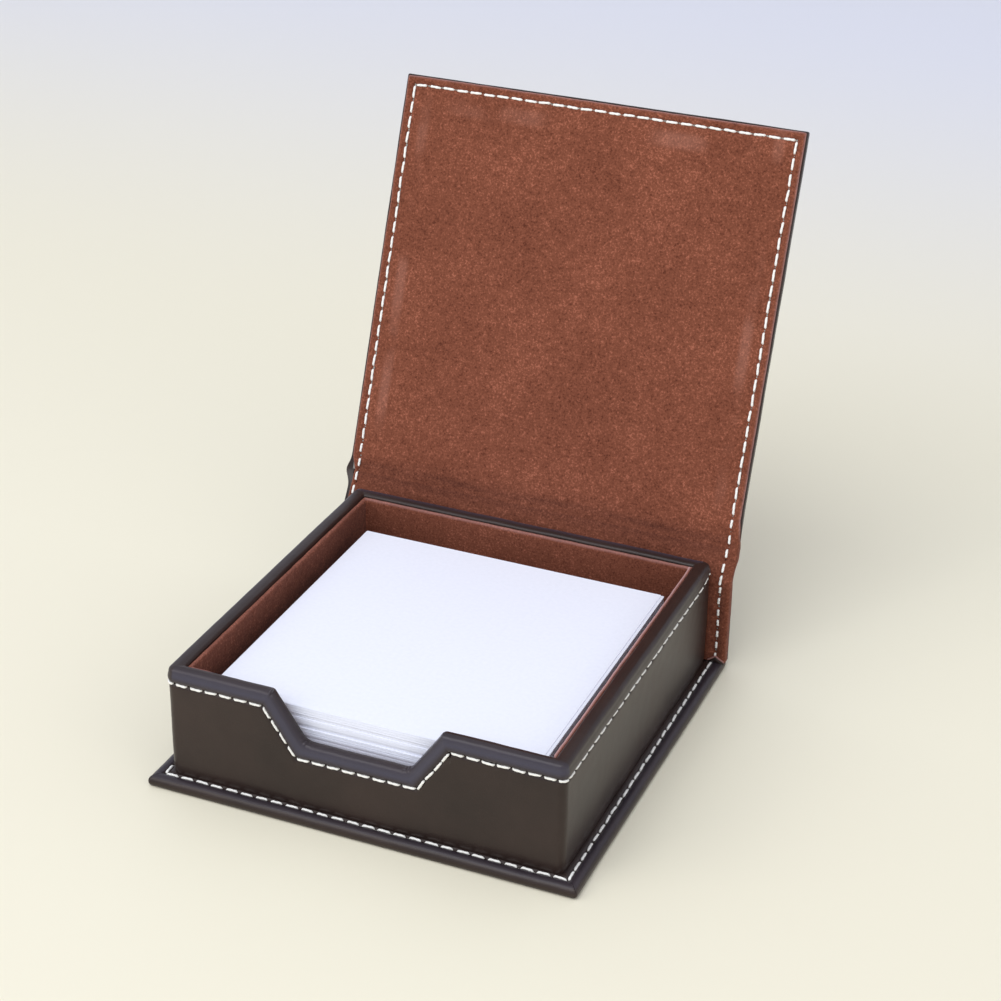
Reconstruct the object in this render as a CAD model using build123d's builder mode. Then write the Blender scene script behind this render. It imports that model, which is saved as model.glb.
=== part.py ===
from build123d import *
import math
import os

# Memo box for square note sheets, bound like a book: a leather-covered base
# board carries an open tray, and a lid of the same size as the base hangs on a
# fold of leather and suede that runs up from a stiff spine behind the tray.
#
# Millimetres. The origin is the centre of the base's underside, +Z is up and -Y
# is the front, where the tray has its finger notch. The lid is modelled open,
# leaning back past upright.

# ---- Driving dimensions ------------------------------------------------------

leather = 0.7           # thickness of the leather cover
suede = 0.6             # thickness of the suede lining
pitch = 4.3             # stitch spacing
stitch_length = 3.4
stitch_width = 0.75
stitch_height = 0.3

base_width = 120.0      # x
base_depth = 118.0      # y
base_height = 3.2
base_turn_in = 16.0     # leather folded over on to the top of the board
base_edge_round = 1.3
base_corner_round = 1.5
base_stitch_inset = 3.5

tray_size = 110.0       # square, over the leather
rim_z = 35.3
tray_card = 2.4
tray_corner_round = 2.2
rim_outer_round = 1.2
rim_inner_round = 0.8
tray_turn_in_z = 14.0   # where the leather ends inside the walls
tray_stitch_drop = 4.4  # stitch line below the rim and around the notch

lining_card = 1.0       # suede-covered card on the walls and floor
lining_drop = 1.0       # top edge of the wall linings below the rim

notch_x = -1.5          # centre of the finger notch
notch_z = 22.0          # height of its bottom edge
notch_half_bottom = 14.5
notch_slant = 34.0      # degrees from vertical
notch_bottom_round = 4.0

spine_board_thickness = 2.6
spine_top_z = 29.0
spine_edge_round = 0.8
spine_stitch_inset = 2.8

hinge_z = 35.0          # bending line of the fold
lid_clearance = 0.6     # inner face of the lid below the bending line when open
lid_start = 3.0         # lid board begins this far from the bending line
lid_length = 119.5      # far edge of the lid from the bending line
lid_board_thickness = 1.5
lid_lean = 21.12        # degrees behind upright
lid_edge_round = 1.0
lid_corner_round = 1.0
lid_stitch_inset = 2.6
fold_gap = 0.15         # slack between the fold and the lid's edge

sheet_size = 90.0
stack_front_gap = 0.3   # between the sheets and the front lining
stack_floor_gap = 0.2
bundles = (             # thickness, x offset, y offset and twist of each bundle
    (11.2, 0.8, 0.1, 0.0),
    (6.0, 1.1, 0.5, 0.12),
    (2.0, 0.7, 0.2, -0.1),
    (1.3, 1.1, 0.6, 0.1),
    (1.6, 1.3, 0.2, 0.0),
    (1.1, -0.2, 0.4, 0.0),
    (2.0, 1.1, 0.2, 0.03),
    (0.4, 0.2, 0.3, 0.0),
)

# ---- Dimensions that follow --------------------------------------------------

half_base = base_width / 2
front_y = -base_depth / 2
half_tray = tray_size / 2
wall = tray_card + 2 * leather
inside_wall = half_tray - wall
inside_lining = inside_wall - lining_card
floor_z = base_height + lining_card
lining_top_z = rim_z - lining_drop
card_outer = half_tray - leather
card_inner = card_outer - tray_card
card_top_z = rim_z - leather
card_height = card_top_z - base_height

spine_front_y = half_tray
spine_board_y = spine_front_y + suede
spine_cover_y = spine_board_y + spine_board_thickness
spine_rear_y = base_depth / 2
spine_height = spine_top_z - base_height

lid_sine = math.sin(math.radians(lid_lean))
lid_cosine = math.cos(math.radians(lid_lean))
lid_span = lid_length - lid_start
lid_middle = (lid_length + lid_start) / 2
lid_plane = Plane(
    origin=(0, spine_rear_y, hinge_z),
    x_dir=(1, 0, 0),
    z_dir=(0, -lid_cosine, lid_sine),
)
lid_through = Axis(lid_plane.origin, lid_plane.z_dir)
lid_along = Axis(lid_plane.origin, lid_plane.y_dir)
lid_inner = -lid_clearance
lid_lining_back = lid_inner - suede
lid_board_back = lid_lining_back - lid_board_thickness
lid_outer = lid_board_back - leather

os.makedirs("parts", exist_ok=True)


def save(builder, label):
    """Label a finished piece and write its file."""
    builder.part.label = label
    export_step(builder.part, f"parts/{label}.step")


def notch_half_width(height, grow):
    """Half width of the finger notch at a height, with its outline moved out by grow."""
    slope = math.tan(math.radians(notch_slant))
    corner = math.tan(math.radians((90 - notch_slant) / 2))
    bottom = notch_half_bottom + grow * corner
    return bottom + (height - notch_z + grow) * slope


def notch_profile(grow):
    """Upright sketch of the finger notch, reaching past the rim."""
    low = notch_z - grow
    high = rim_z + 5
    with BuildSketch(Plane.XZ.offset(inside_lining - 1)) as profile:
        with BuildLine():
            Polyline(
                (notch_x - notch_half_width(high, grow), high),
                (notch_x - notch_half_width(low, grow), low),
                (notch_x + notch_half_width(low, grow), low),
                (notch_x + notch_half_width(high, grow), high),
                close=True,
            )
        make_face()
        fillet(profile.vertices().group_by(Axis.Y)[0], radius=notch_bottom_round + grow)
    return profile.sketch


def stitches_along(corners):
    """Places of evenly spaced stitches along the legs of a line through corners."""
    places = []
    for (x0, y0), (x1, y1) in zip(corners, corners[1:]):
        length = math.hypot(x1 - x0, y1 - y0)
        angle = math.degrees(math.atan2(y1 - y0, x1 - x0))
        count = round(length / pitch)
        for index in range(count):
            along = (index + 0.5) / count
            x = x0 + along * (x1 - x0)
            y = y0 + along * (y1 - y0)
            places.append(Location((x, y, 0), (0, 0, angle)))
    return places


def sheet_span(low_y, high_y):
    """Centre and size of a span along y."""
    return (low_y + high_y) / 2, high_y - low_y


card_notch = notch_profile(leather)
leather_notch = notch_profile(0)
lining_notch = notch_profile(leather / 2)

# ---- Base --------------------------------------------------------------------

with BuildPart() as base_board:
    with BuildSketch(Plane.XY.offset(leather)):
        Rectangle(base_width - 2 * leather, base_depth - 2 * leather)
    extrude(amount=base_height - 2 * leather)
save(base_board, "base_board")

with BuildPart() as base_cover:
    with BuildSketch():
        RectangleRounded(base_width, base_depth, base_corner_round)
    extrude(amount=base_height)
    fillet(base_cover.faces().sort_by(Axis.Z)[-1].edges(), radius=base_edge_round)
    fillet(base_cover.faces().sort_by(Axis.Z)[0].edges(), radius=leather)
    with BuildSketch(Plane.XY.offset(base_height / 2)):
        Rectangle(base_width - 2 * base_turn_in, base_depth - 2 * base_turn_in)
    extrude(amount=base_height, mode=Mode.SUBTRACT)
    add(base_board.part, mode=Mode.SUBTRACT)
save(base_cover, "base_cover")

base_stitch_x = half_base - base_stitch_inset
base_stitch_front = front_y + base_stitch_inset
base_stitch_rear = spine_front_y - 1
with BuildPart() as base_stitching:
    with BuildSketch(Plane.XY.offset(base_height)):
        with Locations(*stitches_along([
            (-base_stitch_x, base_stitch_rear),
            (-base_stitch_x, base_stitch_front),
            (base_stitch_x, base_stitch_front),
            (base_stitch_x, base_stitch_rear),
        ])):
            SlotOverall(stitch_length, stitch_width)
    extrude(amount=stitch_height)
save(base_stitching, "base_stitching")

# ---- Tray walls: card strips, butted at the corners --------------------------

wall_middle = (card_outer + card_inner) / 2
for name, centre_y in (("front_wall", -wall_middle), ("rear_wall", wall_middle)):
    with BuildPart() as cross_wall:
        with BuildSketch(Plane.XY.offset(base_height)):
            with Locations((0, centre_y)):
                Rectangle(2 * card_outer, tray_card)
        extrude(amount=card_height)
        outer_edges = cross_wall.edges().filter_by(Axis.Z).filter_by(
            lambda edge: abs(edge.center().Y) > wall_middle
        )
        fillet(outer_edges, radius=tray_corner_round - leather)
        if name == "front_wall":
            extrude(card_notch, amount=wall + lining_card + 2, mode=Mode.SUBTRACT)
    save(cross_wall, name)
    if name == "front_wall":
        front_wall = cross_wall
    else:
        rear_wall = cross_wall

side_walls = []
for name, centre_x in (("left_wall", -wall_middle), ("right_wall", wall_middle)):
    with BuildPart() as side_wall:
        with BuildSketch(Plane.XY.offset(base_height)):
            with Locations((centre_x, 0)):
                Rectangle(tray_card, 2 * card_inner)
        extrude(amount=card_height)
    save(side_wall, name)
    side_walls.append(side_wall)

# The leather goes up the outside of the walls, over the rim and down inside.
with BuildPart() as tray_cover:
    with BuildSketch(Plane.XY.offset(base_height)):
        RectangleRounded(tray_size, tray_size, tray_corner_round)
    extrude(amount=rim_z - base_height)
    fillet(tray_cover.faces().sort_by(Axis.Z)[-1].edges(), radius=rim_outer_round)
    with BuildSketch(Plane.XY.offset(base_height)):
        Rectangle(2 * inside_wall, 2 * inside_wall)
    extrude(amount=rim_z, mode=Mode.SUBTRACT)
    inner_rim = tray_cover.edges().group_by(Axis.Z)[-1].filter_by(
        lambda edge: max(abs(edge.center().X), abs(edge.center().Y)) < inside_wall + 0.1
    )
    fillet(inner_rim, radius=rim_inner_round)
    extrude(leather_notch, amount=wall + lining_card + 2, mode=Mode.SUBTRACT)
    with BuildSketch(Plane.XY.offset(base_height)):
        Rectangle(2 * card_inner, 2 * card_inner)
    extrude(amount=tray_turn_in_z - base_height, mode=Mode.SUBTRACT)
    for card in (front_wall, rear_wall, side_walls[0], side_walls[1]):
        add(card.part, mode=Mode.SUBTRACT)
save(tray_cover, "tray_cover")

rim_stitch_z = rim_z - tray_stitch_drop
notch_stitch_z = notch_z - tray_stitch_drop
side_stitch_end = half_tray - tray_corner_round
with BuildPart() as tray_stitching:
    with BuildSketch(Plane.XZ.offset(half_tray)):
        with Locations(*stitches_along([
            (-side_stitch_end, rim_stitch_z),
            (notch_x - notch_half_width(rim_stitch_z, tray_stitch_drop), rim_stitch_z),
            (notch_x - notch_half_width(notch_stitch_z, tray_stitch_drop), notch_stitch_z),
            (notch_x + notch_half_width(notch_stitch_z, tray_stitch_drop), notch_stitch_z),
            (notch_x + notch_half_width(rim_stitch_z, tray_stitch_drop), rim_stitch_z),
            (side_stitch_end, rim_stitch_z),
        ])):
            SlotOverall(stitch_length, stitch_width)
    extrude(amount=stitch_height)
    for side in (Plane.YZ.offset(half_tray), Plane(
        origin=(-half_tray, 0, 0), x_dir=(0, 1, 0), z_dir=(-1, 0, 0)
    )):
        row_z = rim_stitch_z * side.y_dir.Z
        with BuildSketch(side):
            with Locations(*stitches_along([(-side_stitch_end, row_z), (side_stitch_end, row_z)])):
                SlotOverall(stitch_length, stitch_width)
        extrude(amount=stitch_height)
save(tray_stitching, "tray_stitching")

# ---- Tray linings ------------------------------------------------------------

with BuildPart() as floor_lining:
    with BuildSketch(Plane.XY.offset(base_height)):
        Rectangle(2 * inside_wall, 2 * inside_wall)
    extrude(amount=lining_card)
save(floor_lining, "floor_lining")

lining_middle = (inside_wall + inside_lining) / 2
for name, centre_y in (("front_lining", -lining_middle), ("rear_lining", lining_middle)):
    with BuildPart() as cross_lining:
        with BuildSketch(Plane.XY.offset(floor_z)):
            with Locations((0, centre_y)):
                Rectangle(2 * inside_wall, lining_card)
        extrude(amount=lining_top_z - floor_z)
        if name == "front_lining":
            extrude(lining_notch, amount=wall + lining_card, mode=Mode.SUBTRACT)
    save(cross_lining, name)

for name, centre_x in (("left_lining", -lining_middle), ("right_lining", lining_middle)):
    with BuildPart() as side_lining:
        with BuildSketch(Plane.XY.offset(floor_z)):
            with Locations((centre_x, 0)):
                Rectangle(lining_card, 2 * inside_lining)
        extrude(amount=lining_top_z - floor_z)
    save(side_lining, name)

# ---- Spine -------------------------------------------------------------------

with BuildPart() as spine_board:
    centre, depth = sheet_span(spine_board_y, spine_cover_y)
    with BuildSketch(Plane.XY.offset(base_height)):
        with Locations((0, centre)):
            Rectangle(base_width - 2 * leather, depth)
    extrude(amount=spine_height)
save(spine_board, "spine_board")

with BuildPart() as spine_cover:
    centre, depth = sheet_span(spine_board_y, spine_rear_y)
    with BuildSketch(Plane.XY.offset(base_height)):
        with Locations((0, centre)):
            Rectangle(base_width, depth)
    extrude(amount=spine_height)
    rear_edges = spine_cover.edges().filter_by(Axis.Z).group_by(Axis.Y)[-1]
    fillet(rear_edges, radius=spine_edge_round)
    add(spine_board.part, mode=Mode.SUBTRACT)
save(spine_cover, "spine_cover")

with BuildPart() as spine_lining:
    centre, depth = sheet_span(spine_front_y, spine_board_y)
    with BuildSketch(Plane.XY.offset(base_height)):
        with Locations((0, centre)):
            Rectangle(base_width, depth)
    extrude(amount=spine_height)
save(spine_lining, "spine_lining")

spine_stitch_x = half_base - spine_stitch_inset
with BuildPart() as spine_stitching:
    with BuildSketch(Plane.XZ.offset(-spine_front_y)):
        for column_x in (-spine_stitch_x, spine_stitch_x):
            with Locations(*stitches_along([(column_x, base_height + 1), (column_x, spine_top_z)])):
                SlotOverall(stitch_length, stitch_width)
    extrude(amount=stitch_height)
save(spine_stitching, "spine_stitching")

# ---- Fold between spine and lid: leather outside, suede inside ---------------


def fold_sheet(front_y_low, thickness, front_level):
    """Curved strip from the spine's top to the lid's edge, with its front face at front_level."""
    end = lid_start - fold_gap
    front_end = lid_plane.from_local_coords(Vector(0, end, front_level))
    rear_end = lid_plane.from_local_coords(Vector(0, end, front_level - thickness))
    along_lid = (lid_sine, lid_cosine)
    with BuildPart() as strip:
        with BuildSketch(Plane.YZ):
            with BuildLine():
                front = Spline(
                    (front_y_low, spine_top_z), (front_end.Y, front_end.Z),
                    tangents=[(0, 1), along_lid],
                )
                rear = Spline(
                    (front_y_low + thickness, spine_top_z), (rear_end.Y, rear_end.Z),
                    tangents=[(0, 1), along_lid],
                )
                Line(front @ 0, rear @ 0)
                Line(front @ 1, rear @ 1)
            make_face()
        extrude(amount=half_base, both=True)
    return strip


save(fold_sheet(spine_front_y, suede, lid_inner), "fold_suede")
save(fold_sheet(spine_cover_y, leather, lid_board_back), "fold_leather")

# ---- Lid ---------------------------------------------------------------------

with BuildPart() as lid_board:
    with BuildSketch(lid_plane.offset(lid_board_back)):
        with Locations((0, lid_middle - leather / 2)):
            Rectangle(base_width - 2 * leather, lid_span - leather)
    extrude(amount=lid_board_thickness)
save(lid_board, "lid_board")

with BuildPart() as lid_lining:
    with BuildSketch(lid_plane.offset(lid_lining_back)):
        with Locations((0, lid_middle - leather / 2)):
            Rectangle(base_width - 2 * leather, lid_span - leather)
    extrude(amount=suede)
save(lid_lining, "lid_lining")

with BuildPart() as lid_cover:
    with BuildSketch(lid_plane.offset(lid_outer)):
        with Locations((0, lid_middle)):
            Rectangle(base_width, lid_span)
    extrude(amount=lid_inner - lid_outer)
    far_corners = lid_cover.edges().filter_by(lid_through).group_by(lid_along)[-1]
    fillet(far_corners, radius=lid_corner_round)
    outer_face = lid_cover.faces().sort_by(lid_through)[0]
    fillet(outer_face.edges().sort_by(lid_along)[1:], radius=lid_edge_round)
    add(lid_board.part, mode=Mode.SUBTRACT)
    add(lid_lining.part, mode=Mode.SUBTRACT)
save(lid_cover, "lid_cover")

lid_stitch_x = half_base - lid_stitch_inset
lid_stitch_far = lid_length - lid_stitch_inset
with BuildPart() as lid_stitching:
    with BuildSketch(lid_plane.offset(lid_inner)):
        with Locations(*stitches_along([
            (-lid_stitch_x, lid_start),
            (-lid_stitch_x, lid_stitch_far),
            (lid_stitch_x, lid_stitch_far),
            (lid_stitch_x, lid_start),
        ])):
            SlotOverall(stitch_length, stitch_width)
    extrude(amount=stitch_height)
save(lid_stitching, "lid_stitching")

# ---- Memo sheets, in bundles that have slid a little over each other ---------

bundle_z = floor_z + stack_floor_gap
stack_y = -inside_lining + stack_front_gap + sheet_size / 2
for number, (thickness, shift_x, shift_y, twist) in enumerate(bundles, start=1):
    with BuildPart() as bundle:
        with BuildSketch(Plane.XY.offset(bundle_z)):
            with Locations(Location((shift_x, stack_y + shift_y, 0), (0, 0, twist))):
                Rectangle(sheet_size, sheet_size)
        extrude(amount=thickness)
    save(bundle, f"memo_sheets_{number}")
    bundle_z += thickness
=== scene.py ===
import math
import random
import bpy
import bmesh
import numpy as np
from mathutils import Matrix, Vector, noise

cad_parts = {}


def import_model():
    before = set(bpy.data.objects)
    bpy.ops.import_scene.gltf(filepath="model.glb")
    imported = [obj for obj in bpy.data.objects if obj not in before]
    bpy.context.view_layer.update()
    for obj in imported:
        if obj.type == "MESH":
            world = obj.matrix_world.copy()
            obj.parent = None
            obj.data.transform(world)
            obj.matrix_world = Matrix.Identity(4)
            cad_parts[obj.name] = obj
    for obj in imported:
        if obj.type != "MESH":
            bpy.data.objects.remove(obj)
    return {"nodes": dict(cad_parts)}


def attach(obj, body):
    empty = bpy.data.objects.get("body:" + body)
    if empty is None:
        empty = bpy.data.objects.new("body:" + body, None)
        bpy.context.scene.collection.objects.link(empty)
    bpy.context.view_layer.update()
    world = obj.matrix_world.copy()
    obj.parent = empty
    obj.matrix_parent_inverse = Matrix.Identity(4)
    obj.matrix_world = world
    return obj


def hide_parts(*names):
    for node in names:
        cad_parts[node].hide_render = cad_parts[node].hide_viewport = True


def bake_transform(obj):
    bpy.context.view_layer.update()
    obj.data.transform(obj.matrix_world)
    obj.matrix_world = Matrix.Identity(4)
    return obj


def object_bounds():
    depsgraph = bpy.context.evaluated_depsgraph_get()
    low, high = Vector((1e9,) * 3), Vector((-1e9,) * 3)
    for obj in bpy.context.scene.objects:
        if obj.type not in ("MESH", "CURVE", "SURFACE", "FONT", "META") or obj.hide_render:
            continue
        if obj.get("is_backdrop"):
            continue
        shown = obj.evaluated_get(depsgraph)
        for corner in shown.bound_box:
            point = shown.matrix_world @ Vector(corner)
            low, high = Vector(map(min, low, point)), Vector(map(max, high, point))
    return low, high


# Leather memo box, open, with a stack of note sheets. Shapes are worked out in
# millimetres and written to the meshes in metres.

MM = 0.001

# ---- Shape -------------------------------------------------------------------

PITCH = 4.3                 # stitch spacing
STEPS = 6                   # mesh columns per stitch
THREAD_LENGTH = 3.5
THREAD_WIDTH = 0.68
THREAD_HEIGHT = 0.56
THREAD_STEPS = 13
THREAD_SIDES = 10

TRAY = 55.0                 # half the tray's width over the leather
RIM = 35.3
WALLS = np.array([3.4, 4.1, 3.9, 4.3])      # front, right, rear and left
TRAY_CORNER = 2.2
SEAM_DROP = 4.4             # stitch line below the rim
SIDE_SEAM_DROP = 4.7
STRAIGHT = 42.0             # columns keep their place along the wall up to here
LINING = 1.15
FLOOR = 4.2

NOTCH_X = -1.5
NOTCH_Z = 22.0
NOTCH_HALF = 14.5
NOTCH_SLANT = math.radians(34)
NOTCH_ROUND = 4.0

BASE_X = 60.0
BASE_Y = 59.0
BASE_Z = 3.2
BASE_SEAM = 3.5             # stitch line in from the base's edge
BASE_CORNER = 0.7
BASE_TURN_IN = 16.0         # leather folded in on top of the board

SPINE_FRONT = 55.0
SPINE_BACK = 59.0
SPINE_TOP = 28.4
LID_START = 3.0
LID_END = 119.5
LID_SEAM = 2.6
LID_FACE = 0.6              # inner face behind the bending line
LID_THICK = 2.8
LID_CORNER = 0.5
SPINE_STITCHES = 7
FOLD_STITCHES = 3
EDGE = 60.25                # half width over the rolled leather edge
HINGE = np.array([59.0, 35.0])
LEAN = math.radians(21.12)

SHEET = 90.0
STACK_X = 0.25
STACK_Y = -4.9
STACK_Z = 4.4
LAYER = 0.3                 # a few sheets lie so flush that they read as one
TOP_SHEET = 0.12
SHEET_CORNER = 0.25
SHEET_GAP = 0.015

GROOVE = 0.42               # depth and width of the dent along a seam
GROOVE_WIDTH = 0.55
HOLE = 0.35                 # and of the pits at its needle holes
HOLE_WIDTH = 0.42


def unit(v):
    v = np.asarray(v, float)
    return v / np.linalg.norm(v)


def wobble(points, size, amount, seed):
    """Points moved about by soft noise of a certain size."""
    out = points.reshape(-1, 3).copy()
    for i, p in enumerate(out):
        out[i] = p + amount * np.array(
            noise.noise_vector(Vector((p[0] / size + seed, p[1] / size, p[2] / size)))
        )
    return out.reshape(points.shape)


def mesh_from(name, points, faces, material, flat=None, painted_light=None):
    """A smooth mesh without doubled points, with an optional flat map and share of painted light:
    painted highlight above 0, painted shade below 0.
    """
    mesh = bpy.data.meshes.new(name)
    mesh.from_pydata((np.asarray(points) * MM).tolist(), [], faces)
    if painted_light is not None:
        layer = mesh.attributes.new("painted_light", "FLOAT", "POINT")
        layer.data.foreach_set("value", np.asarray(painted_light, np.float32))
    if flat is not None:
        layer = mesh.uv_layers.new(name="flat")
        index = np.zeros(len(mesh.loops), int)
        mesh.loops.foreach_get("vertex_index", index)
        layer.data.foreach_set("uv", (np.asarray(flat)[index] * MM).ravel())
    work = bmesh.new()
    work.from_mesh(mesh)
    bmesh.ops.remove_doubles(work, verts=work.verts, dist=1e-7)
    thin = [f for f in work.faces if f.calc_area() < 1e-13]
    bmesh.ops.delete(work, geom=thin, context="FACES_ONLY")
    loose = [v for v in work.verts if not v.link_faces]
    bmesh.ops.delete(work, geom=loose, context="VERTS")
    work.to_mesh(mesh)
    work.free()
    for polygon in mesh.polygons:
        polygon.use_smooth = True
    mesh.materials.append(material)
    thing = bpy.data.objects.new(name, mesh)
    bpy.context.scene.collection.objects.link(thing)
    return thing


def grid_faces(rows, columns, closed=False, first=0):
    """Quads of a grid of points stored row after row."""
    faces = []
    for r in range(rows - 1):
        for c in range(columns if closed else columns - 1):
            n = (c + 1) % columns
            a = first + r * columns
            b = a + columns
            faces.append((a + c, a + n, b + n, b + c))
    return faces


# ---- Stitches ----------------------------------------------------------------


def leg(a, b, count=None):
    """Stations from a to b, where the holes are among them, and the stitches' centres."""
    a, b = np.asarray(a, float), np.asarray(b, float)
    count = count or max(1, round(np.linalg.norm(b - a) / PITCH))
    share = np.linspace(0, 1, count * STEPS + 1)[:, None]
    holes = (np.arange(count * STEPS + 1) % STEPS == 0).astype(float)
    middle = (np.arange(count)[:, None] + 0.5) / count
    return a + (b - a) * share, holes, a + (b - a) * middle


def groove(distance):
    """Depth of the dent that a row of stitches pulls into the cover."""
    return GROOVE * np.exp(-((distance / GROOVE_WIDTH) ** 2))


def puncture(distance):
    """Depth of the pit at a needle hole."""
    return HOLE * np.exp(-((distance / HOLE_WIDTH) ** 2))


def thread_points(path, outs, rng):
    """One stitch of two-ply thread along a path, diving into its holes at both ends."""
    turn = rng.uniform(0, math.pi)
    points = []
    shares = np.linspace(-1, 1, THREAD_STEPS)
    ways = np.gradient(path, axis=0)
    for t, middle, out, way in zip(shares, path, outs, ways):
        side = unit(np.cross(out, way))
        dive = max(0.0, abs(t) - 0.62) / 0.38
        middle = middle + out * (0.06 - 0.42 * dive * dive)
        thick = math.sqrt(max(0.12, 1 - 0.7 * dive ** 4))
        for k in range(THREAD_SIDES):
            angle = 2 * math.pi * k / THREAD_SIDES
            ply = 1 + 0.1 * math.cos(2 * (angle - turn - 3.4 * t))
            points.append(
                middle
                + side * math.cos(angle) * THREAD_WIDTH / 2 * ply * thick
                + out * math.sin(angle) * THREAD_HEIGHT / 2 * ply * thick
            )
    return points


def straight_stitch(centre, along, out, length, rng):
    """Path and normals of a straight stitch, a little off its line as sewn."""
    centre, along, out = np.asarray(centre, float), unit(along), unit(out)
    side = np.cross(out, along)
    along = unit(along + side * rng.gauss(0, 0.04))
    centre = centre + side * rng.gauss(0, 0.05) + along * rng.gauss(0, 0.06)
    half = 0.5 * length * (1 + rng.gauss(0, 0.03))
    shares = np.linspace(-1, 1, THREAD_STEPS)[:, None]
    return centre + along * half * shares, np.broadcast_to(out, (THREAD_STEPS, 3))


def stitching(name, stitches, material, seed, bent=()):
    """Stitches given as centre, direction, normal and length, and bent ones as paths."""
    rng = random.Random(seed)
    points, faces = [], []
    paths = [straight_stitch(*stitch, rng) for stitch in stitches] + list(bent)
    last = (THREAD_STEPS - 1) * THREAD_SIDES
    for path, outs in paths:
        first = len(points)
        points += thread_points(path, outs, rng)
        faces += grid_faces(THREAD_STEPS, THREAD_SIDES, True, first)
        faces.append(tuple(range(first + THREAD_SIDES - 1, first - 1, -1)))
        faces.append(tuple(range(first + last, first + last + THREAD_SIDES)))
    return mesh_from(name, points, faces, material)


MARK_SIDES = 10
MARK_RADIUS = 0.5


def hole_marks(name, places, material):
    """Needle holes as small dished discs in painted shade, each given as centre and normal."""
    points, faces = [], []
    for centre, out in places:
        centre, out = np.asarray(centre, float), unit(out)
        side = unit(np.cross(out, (0.31, 0.52, 0.8)))
        other = np.cross(out, side)
        first = len(points)
        points.append(centre - out * 0.12)
        for k in range(MARK_SIDES):
            angle = 2 * math.pi * k / MARK_SIDES
            rim = side * math.cos(angle) + other * math.sin(angle)
            points.append(centre + rim * MARK_RADIUS + out * 0.05)
            faces.append((first, first + 1 + k, first + 1 + (k + 1) % MARK_SIDES))
    return mesh_from(name, points, faces, material)


# ---- Materials ---------------------------------------------------------------


LEATHER_TONES = (0.0175, 0.0100, 0.0088), (0.028, 0.0160, 0.0135)      # dark and light
SUEDE_TONES = (0.084, 0.020, 0.009), (0.203, 0.062, 0.033)
# painted cool highlight on the leather's padded band, rim and flange
PAINTED_COOL_HIGHLIGHT = (0.045, 0.042, 0.064, 1)
# painted highlight on the suede's fuzzy edges, and painted shade in its gaps, creases and the
# strip beside the tray
PAINTED_NAP_HIGHLIGHT = (0.48, 0.28, 0.27, 1)
PAINTED_NAP_SHADE = (0.022, 0.006, 0.006, 1)
# painted highlight on the suede's ridges over the lid board's edges
PAINTED_RIDGE_HIGHLIGHT = (0.42, 0.2, 0.15, 1)
# cut edges of the sheets, painted a little lighter and bluer than their tops for the light they
# catch
CUT_EDGE_PAINTED_BRIGHTER = (0.83, 0.845, 0.95, 1)
NEAR_TABLE = (0.82, 0.762, 0.602, 1)
FAR_TABLE = (0.75, 0.75, 0.81, 1)


def plug(tree, node, values):
    """Plain values, and links from other nodes, on a node's inputs."""
    for key, value in values.items():
        if isinstance(value, bpy.types.NodeSocket):
            tree.links.new(value, node.inputs[key])
        else:
            node.inputs[key].default_value = value


def add(tree, kind, inputs=None, **settings):
    """A shader node with its settings and inputs."""
    node = tree.nodes.new("ShaderNode" + kind)
    for key, value in settings.items():
        setattr(node, key, value)
    plug(tree, node, inputs or {})
    return node


def new_material(name):
    """A material with its nodes, its surface and the piece's coordinates."""
    material = bpy.data.materials.new(name)
    material.use_nodes = True
    tree = material.node_tree
    return material, tree, tree.nodes["Principled BSDF"], add(tree, "TexCoord")


def attribute(tree, name):
    return add(tree, "Attribute", attribute_name=name).outputs["Fac"]


def grain(tree, place, scale, detail=2.0, roughness=0.5):
    inputs = {"Vector": place.outputs["Object"], "Scale": scale, "Detail": detail,
              "Roughness": roughness}
    return add(tree, "TexNoise", inputs).outputs["Fac"]


def ramp(tree, value, stops):
    """The colour at a value, from (position, colour) pairs."""
    node = add(tree, "ValToRGB", {"Fac": value})
    elements = node.color_ramp.elements
    while len(elements) < len(stops):
        elements.new(0.5)
    for element, (position, colour) in zip(elements, stops):
        element.position = position
        element.color = (*colour, 1)
    return node.outputs["Color"]


def mixed(tree, factor, first, second, kind="RGBA"):
    """Two colours, or with kind FLOAT two values, mixed by a factor."""
    a, b, result = (6, 7, 2) if kind == "RGBA" else (2, 3, 0)
    return add(tree, "Mix", {0: factor, a: first, b: second}, data_type=kind).outputs[result]


def maths(tree, operation, *values, clamp=False):
    inputs = dict(enumerate(values))
    return add(tree, "Math", inputs, operation=operation, use_clamp=clamp).outputs[0]


def map_range(tree, value, low, high, to_low=0.0, to_high=1.0, curve="SMOOTHSTEP"):
    inputs = {"Value": value, "From Min": low, "From Max": high, "To Min": to_low,
              "To Max": to_high}
    return add(tree, "MapRange", inputs, interpolation_type=curve).outputs["Result"]


def bump(tree, height, strength, distance, **below):
    inputs = {"Height": height, "Strength": strength, "Distance": distance, **below}
    return add(tree, "Bump", inputs).outputs["Normal"]


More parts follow.
